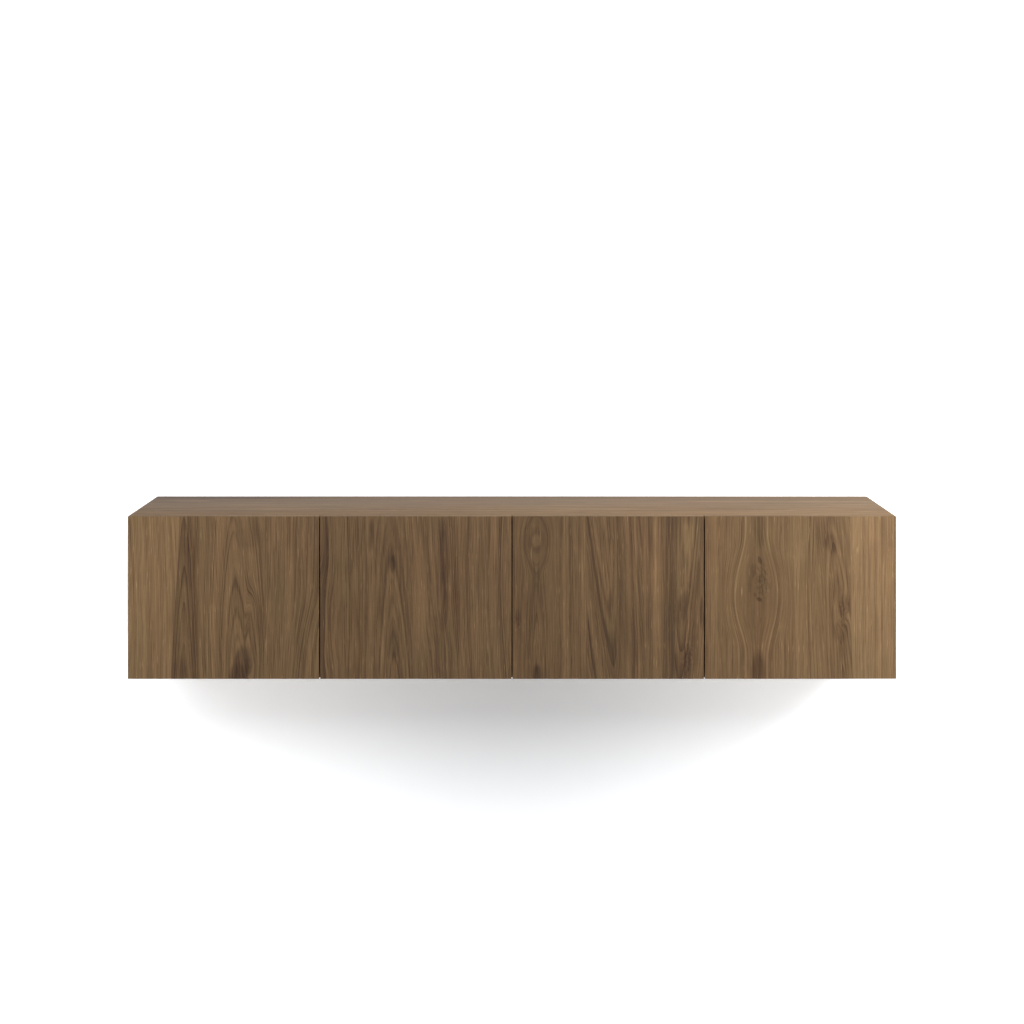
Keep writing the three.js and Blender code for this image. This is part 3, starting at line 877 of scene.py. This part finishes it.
screws = {
    "recessWidth": 0.22,     # shares of the head's radius
    "recessReach": 0.62,
    "recessDepth": 0.3,
    "heights": {"flat": 0.22, "raised": 0.42},
    "rim": [(1, 0.45), (0.97, 0.7), (0.88, 0.88), (0.7, 0.97)],  # radius, share of the height
    "sides": 32,
    "sink": 0.02,            # millimetres that a head stands in its seat
}


# The points and faces of a finished piece, which then goes
def takeShape(piece):
    points = readAll(piece.data.vertices, "co", 3)
    faces = [list(face.vertices) for face in piece.data.polygons]
    bpy.data.objects.remove(piece)
    return points, faces


# A head of radius 1 on height 0, with a rounded edge and a cross recess
def crossHead(height):
    rim = [(radius, height * share) for radius, share in screws["rim"]]
    profile = [(0, 0), (1, 0), *rim, (0, height)]
    head = makePiece("screwHead", [turned(profile, 2, (0, 0, 0), screws["sides"])])
    width, reach = screws["recessWidth"] / 2, screws["recessReach"]
    deep = height - screws["recessDepth"]
    carve(head, [block((-reach, -width, deep), (reach, width, height + 1)),
                 block((-width, -reach, deep), (width, reach, height + 1))])
    return takeShape(head)


# A shape drawn along Z, turned to point along an axis, scaled and moved
def turnedTo(shape, axis, side, scale, centre):
    points = np.roll(shape[0], axis + 1, axis=1) * scale
    if side < 0:
        points[:, axis] *= -1
        points[:, (axis + 1) % 3] *= -1
    return points + np.asarray(centre, float), shape[1]


def arc(centre, radius, start, end, steps):
    angle = np.linspace(start, end, steps)
    return np.asarray(centre) + radius * np.stack([np.cos(angle), np.sin(angle)], 1)


# A rectangle with round corners, as (across, along) points
def roundedPlate(halfAcross, halfAlong, radius, steps=6):
    corner = arc((0, 0), radius, 0, math.pi / 2, steps)
    inset = np.array([halfAcross - radius, halfAlong - radius])
    turns = [(1, 1), (-1, 1), (-1, -1), (1, -1)]
    quarter = [corner, corner[::-1] * (-1, 1), -corner, corner[::-1] * (1, -1)]
    return np.concatenate([inset * turn + part for turn, part in zip(turns, quarter)])


screwHeads = {name: crossHead(height) for name, height in screws["heights"].items()}


# Millimetres from the door's hinge edge, its front face and the hinge's height
hinge = {
    "edgeDistance": 5,
    "cupRadius": 17.5,
    "cupDepth": 11.5,
    "wall": 1,
    "doorThickness": 19,
    "gap": 0.3,
    "rimRadius": 19.5,
    "rimThickness": 1,
    "wing": (6, 17, 32, 1.2),    # half width, start, reach, thickness
    "wingScrew": (26, 3.8),      # height from the middle, radius
    "pivot": (33, 12.2),
    "eyeRadius": 3.2,
    "pinRadius": 1.5,
    "armWidth": 13,
    "armHeight": 11,
    "armEnd": 83.5,
    "armScrews": (14, 7, 3.0),   # from the end, from the elbow, radius
    "neck": (1.3, 7),            # beside the eye, behind the pivot
    "slope": 0.9,                # length of the arm's bends against their height
    "notch": 12,                 # how far the link's slot reaches from the pivot
    "carcassFront": 21.5,
    "plate": (3, 24, 9, 8, 37),  # thickness, half height, half depth, body half height, set back
    "plateStart": 12,            # from the carcass's front
    "plateStep": 0.4,            # how much thinner its wings are
    "plateScrew": (16, 3.8),
    "link": (18.25, 3.05, 3, 2, 8),  # reach, rise, bow, thickness, width
}


def cupShapes():
    centre = (hinge["edgeDistance"] + hinge["cupRadius"], 0, 0)
    base = hinge["doorThickness"] - hinge["cupDepth"]
    under = hinge["doorThickness"] + hinge["gap"]
    top = under + hinge["rimThickness"]
    outer, rim = hinge["cupRadius"], hinge["rimRadius"]
    inner = outer - hinge["wall"]
    cup = [(0, base), (outer - 0.8, base), (outer - 0.2, base + 0.3), (outer, base + 0.9),
           (outer, under), (rim - 0.2, under), (rim, under + 0.3), (rim - 0.1, top - 0.3),
           (rim - 0.5, top), (inner + 0.6, top), (inner + 0.15, top - 0.2), (inner, top - 0.7),
           (inner, base + 2.2), (inner - 0.4, base + 1.4), (inner - 1.2, base + 1), (0, base + 1)]
    shapes = [turned(cup, 1, centre, 56)]
    half, start, reach, thickness = hinge["wing"]
    height, radius = hinge["wingScrew"]
    wing = roundedPlate(half, (reach - start) / 2, half - 0.5, 8) + (0, (reach + start) / 2)
    for side in (-1, 1):
        outline = (wing * (1, side))[:, ::-1] + (0, centre[0])
        shapes.append(carried(outline, 1, under, under + thickness))
        place = (centre[0], under + thickness - screws["sink"], side * height)
        shapes.append(turnedTo(screwHeads["flat"], 1, 1, radius, place))
    return shapes


# The arm, outlined in plan from its eye to its far end, and its plate
def armShapes(mountFace):
    px, py = hinge["pivot"]
    eye, half, gap = hinge["eyeRadius"], hinge["armWidth"] / 2, hinge["gap"]
    thickness, plateHigh, plateDeep, bodyHigh, setBack = hinge["plate"]
    face = mountFace + gap
    plateTop = face + thickness
    armTop = plateTop + hinge["armHeight"]
    beside, behind = hinge["neck"]
    neckX, neckY = px - eye - beside, py + behind
    kneeX = plateTop - thickness / 2
    kneeY = neckY + (neckX - kneeX) * hinge["slope"]
    shoulderX, shoulderY = px + eye, neckY + hinge["armHeight"] / 2
    elbowY = shoulderY + abs(shoulderX - armTop) * hinge["slope"]
    end = hinge["armEnd"]
    body = [*arc((px, py), eye, 0, -math.pi, 17), (neckX, neckY), (kneeX, kneeY), (kneeX, end),
            (armTop - 6, end), (armTop - 2, end - 2), (armTop, end - 6), (armTop, elbowY),
            (shoulderX, shoulderY)]
    slotHalf = hinge["link"][4] / 2 + gap
    slotEnd, notch = py + eye + gap, hinge["notch"]
    arm = makePiece("armDraft", [carried(body, 2, -half, half)], 0.7)
    carve(arm, [block((px - notch, py - notch, -slotHalf), (px + notch, slotEnd, slotHalf))])

    front, start = hinge["carcassFront"], hinge["plateStart"]
    plateY = front + setBack
    bodyPlate = roundedPlate((end - front - start) / 2, bodyHigh, 2)
    wings, wingTop = roundedPlate(plateDeep, plateHigh, 5), plateTop - hinge["plateStep"]
    pin, pinHalf = hinge["pinRadius"], half - gap
    profile = [(0, -pinHalf), (pin, -pinHalf), (pin, pinHalf), (0, pinHalf)]
    shapes = [
        takeShape(arm),
        carried(bodyPlate + ((front + start + end) / 2, 0), 0, face, plateTop),
        carried(wings + (plateY, 0), 0, face, wingTop),
        turned(profile, 2, (px, py, 0), 24),
    ]
    height, radius = hinge["plateScrew"]
    for side in (-1, 1):
        place = (wingTop - screws["sink"], plateY, side * height)
        shapes.append(turnedTo(screwHeads["flat"], 0, 1, radius, place))
    fromEnd, fromElbow, radius = hinge["armScrews"]
    for y in (end - fromEnd, elbowY + fromElbow):
        place = (armTop - screws["sink"], y, 0)
        shapes.append(turnedTo(screwHeads["flat"], 0, 1, radius, place))
    return shapes


# A strip bowed on a parabola, from the eye on the arm's pin to its end inside the cup
def linkShapes():
    px, py = hinge["pivot"]
    reach, rise, bow, thickness, width = hinge["link"]
    along = np.array([-reach, rise])
    length = math.hypot(reach, rise)
    across = np.array([-along[1], along[0]]) / length
    outer = hinge["eyeRadius"]
    share = np.linspace(outer / 2 / length, 1, 15)[:, None]
    middle = share * along + 4 * bow * share * (1 - share) * across
    aside = across * thickness / 2
    strip = np.concatenate([middle + aside, (middle - aside)[::-1]])
    half, bore = width / 2, hinge["pinRadius"] + hinge["gap"]
    eye = [(bore, -half), (outer, -half), (outer, half), (bore, half), (bore, -half)]
    return [carried(strip + (px, py), 2, -half, half), turned(eye, 2, (px, py, 0), 32)]


# Millimetres at a hinge as metres in the cabinet's frame, turned half round Y at a right edge
def atHinge(shapes, edgeX, turn, height, front):
    scale, place = (turn * mm, mm, turn * mm), (edgeX, front, height)
    return [(points * scale + place, faces) for points, faces in shapes]


def makeHinges():
    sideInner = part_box("left_side")[1].x
    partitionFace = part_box("centre_partition")[1].x
    for node in doorFigures:
        low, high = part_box(node)
        for level in ("upper", "lower"):
            names = {part: node.replace("door", "hinge_" + part) + "_" + level
                     for part in ("cup", "arm", "link")}
            cupLow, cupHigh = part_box(names["cup"])
            middle = (cupLow + cupHigh) / 2
            turn = 1 if middle.x < (low.x + high.x) / 2 else -1
            edgeX = low.x if turn > 0 else high.x
            mount = -sideInner if abs(edgeX) > abs(sideInner) / 2 else partitionFace
            mountFace = abs(abs(edgeX) - abs(mount)) / mm
            shapes = {"cup": cupShapes(), "arm": armShapes(mountFace), "link": linkShapes()}
            for part, name in names.items():
                placed = atHinge(shapes[part], edgeX, turn, middle.z, low.y)
                piece = makePiece(name + "_piece", placed)
                seat(piece, name, "nickel", fittings["nickel"])


makeHinges()
print("hinges made")


latch = {
    "flange": (30, 44, 2),       # width, length, thickness
    "flangeCorner": 4,
    "flangeStart": 1.5,          # behind the barrel's front
    "web": (8, 3, 0.5),          # thickness, slope of its ends, depth in the flange
    "barrelRadius": 6.5,
    "boreRadius": 3.8,
    "boreDepth": 48,
    "screwRadius": 3.8,
    "tipRadius": 4.5,
    "plungerRadius": 3.5,
    "gap": 0.3,
}


# A flange with round corners, a web, and a barrel with a chamfered, bored front end
def makeLatches():
    width, length, thickness = latch["flange"]
    webWidth, slope, sunk = latch["web"]
    radius, bore, gap = latch["barrelRadius"], latch["boreRadius"], latch["gap"]
    head, tip, stem = latch["screwRadius"], latch["tipRadius"], latch["plungerRadius"]
    for number in range(1, 5):
        node = f"push_latch_{number}"
        low, high = boxInMm(node)
        x = (low[0] + high[0]) / 2
        front, back, top = low[1], high[1], high[2]
        barrelZ = top - thickness - radius
        start, end = front + latch["flangeStart"], front + latch["boreDepth"]
        middle = start + length / 2
        flange = roundedPlate(width / 2, length / 2, latch["flangeCorner"]) + (x, middle)
        web = [(start, barrelZ), (start + length, barrelZ),
               (start + length - slope, top - sunk), (start + slope, top - sunk)]
        barrel = [(0, back), (radius - 1.2, back), (radius, back - 1.2),
                  (radius, front + 0.8), (radius - 0.8, front), (bore + 0.5, front),
                  (bore, front + 0.5), (bore, end), (0, end)]
        shapes = [
            carried(flange, 2, top - thickness, top),
            carried(web, 0, x - webWidth / 2, x + webWidth / 2),
            turned(barrel, 1, (x, 0, barrelZ)),
        ]
        for side in (-1, 1):
            aside = side * (width / 2 - head - gap)
            place = (x + aside, middle, top - thickness + screws["sink"])
            shapes.append(turnedTo(screwHeads["flat"], 2, -1, head, place))
        seat(pieceInMm(node, shapes), node, "dark_plastic", fittings["darkPlastic"])

        node = f"latch_plunger_{number}"
        (_, start, _), (_, end, _) = boxInMm(node)
        collar = front - gap
        profile = [(0, start), (tip - 1, start), (tip - 0.3, start + 0.2), (tip, start + 0.7),
                   (tip, collar - 0.2), (tip - 0.2, collar), (stem, collar), (stem, end), (0, end)]
        plunger = pieceInMm(node, [turned(profile, 1, (x, 0, barrelZ))])
        seat(plunger, node, "pale_plastic", fittings["palePlastic"])


makeLatches()
print("latches made")


hanging = {
    "gap": 0.3,
    "caseRear": -21,
    "caseSetBack": 1.5,
    "caseEdge": 0.8,
    "hookBite": 5,
    "hookThickness": 3.2,
    "hookRise": 4.7,
    "nose": 8,
    "adjusterRadius": 3.5,
    "adjusterFromEnd": 9,
    "railMetal": 2,
    "railEdge": 0.45,
    "railLip": (9, 8),           # how deep and how high the hooking lip is
    "slot": (12, 3.25),          # length and end radius
    "slotCount": 6,
    "slotPitch": 300,
}


# A pressed case in side view with a hook over the rail, and its two adjusting screws
def makeHangers():
    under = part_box("wall_rail")[1].z / mm + hanging["gap"]
    hookTop, hookTip = under + hanging["hookRise"], under - hanging["gap"] - hanging["hookBite"]
    nose, rear, fromEnd = hanging["nose"], hanging["caseRear"], hanging["adjusterFromEnd"]
    for number in range(1, 5):
        node = f"hanger_{number}"
        low, high = boxInMm(node)
        hookEnd = high[1]
        hookStart = hookEnd - hanging["hookThickness"]
        front, bottom, top = low[1] + hanging["caseSetBack"], low[2], high[2]
        outline = [
            (front, bottom), (rear, bottom), (rear, under), (hookStart, under),
            (hookStart, hookTip), (hookEnd, hookTip), (hookEnd, hookTop), (rear, hookTop),
            (rear, top), (front + nose, top), (front, top - nose),
        ]
        case = pieceInMm(node, [carried(outline, 0, low[0], high[0])], hanging["caseEdge"])
        middle = (low[0] + high[0]) / 2
        heads = []
        for z in (bottom + fromEnd, top - nose - fromEnd):
            place = np.array([middle, front + 0.05, z]) * mm
            scale = hanging["adjusterRadius"] * mm
            heads.append(turnedTo(screwHeads["raised"], 1, -1, scale, place))
        adjusters = makePiece(node + "_adjusters", heads)
        for piece in (case, adjusters):
            seat(piece, node, "zinc_plate", fittings["zinc"])


# The rail's folded section carried along X, with round-ended slots cut in it
def makeRail():
    low, high = boxInMm("wall_rail")
    metal, (lipDeep, lipHigh) = hanging["railMetal"], hanging["railLip"]
    bottom, top = low[2], high[2]
    stepTop = top - lipHigh + metal
    section = [
        (0, bottom), (0, stepTop), (metal - lipDeep, stepTop), (metal - lipDeep, top),
        (-lipDeep, top), (-lipDeep, stepTop - metal), (-metal, stepTop - metal), (-metal, bottom),
    ]
    rail = pieceInMm("wall_rail", [carried(section, 0, low[0], high[0])], hanging["railEdge"])
    length, radius = hanging["slot"]
    count = hanging["slotCount"]
    cutters = []
    for place in (np.arange(count) - (count - 1) / 2) * hanging["slotPitch"]:
        outline = roundedPlate(radius, length / 2, radius - 0.01, 12) + (0, place)
        cutters.append(carried(outline * mm, 1, -5 * mm, 5 * mm))
    carve(rail, cutters)
    seat(rail, "wall_rail", "zinc_plate", fittings["zinc"])


def makeBacks():
    for node in ("back_panel_left", "back_panel_right"):
        panel = boardPiece(node, boards["backEasedEdge"])
        seat(panel, node, "back_board", fittings["backBoard"])


# A shank in the panel, a flange on its face and a pad under the shelf
def makePins():
    faces = [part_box(panel)[1].x / mm for panel in ("left_side", "centre_partition")]
    *padHalf, padThickness, padEnd = pins["pad"]
    *flangeHalf, flangeEnd = pins["flange"]
    radius, inside, outside = pins["shank"]
    ease, gap = pins["shankEase"], pins["gap"]
    for node in shelfPins:
        low, high = boxInMm(node)
        panelAtLow = any(low[0] < face < high[0] for face in faces)
        inward = 1 if panelAtLow else -1
        wall = low[0] + inside if panelAtLow else high[0] - inside
        y, top = (low[1] + high[1]) / 2, high[2]
        shank = top - pins["shankDrop"]
        padEnds, flangeEnds, (start, end) = (
            sorted([wall + inward * first, wall + inward * last])
            for first, last in ((gap, padEnd), (gap, flangeEnd), (-inside, outside)))
        pad = roundedPlate(*padHalf, *pins["corner"]) + (sum(padEnds) / 2, y)
        flange = roundedPlate(*flangeHalf, *pins["corner"]) + (y, shank)
        stem = [(0, start), (radius - ease, start), (radius, start + ease),
                (radius, end - ease), (radius - ease, end), (0, end)]
        piece = pieceInMm(node, [
            carried(pad, 2, top - padThickness, top),
            carried(flange, 0, *flangeEnds),
            turned(stem, 0, (0, y, shank), 24),
        ])
        seat(piece, node, "nickel", fittings["nickel"])


makeHangers()
makeRail()
makeBacks()
makePins()
print("hangers, rail, back panels and pins made")
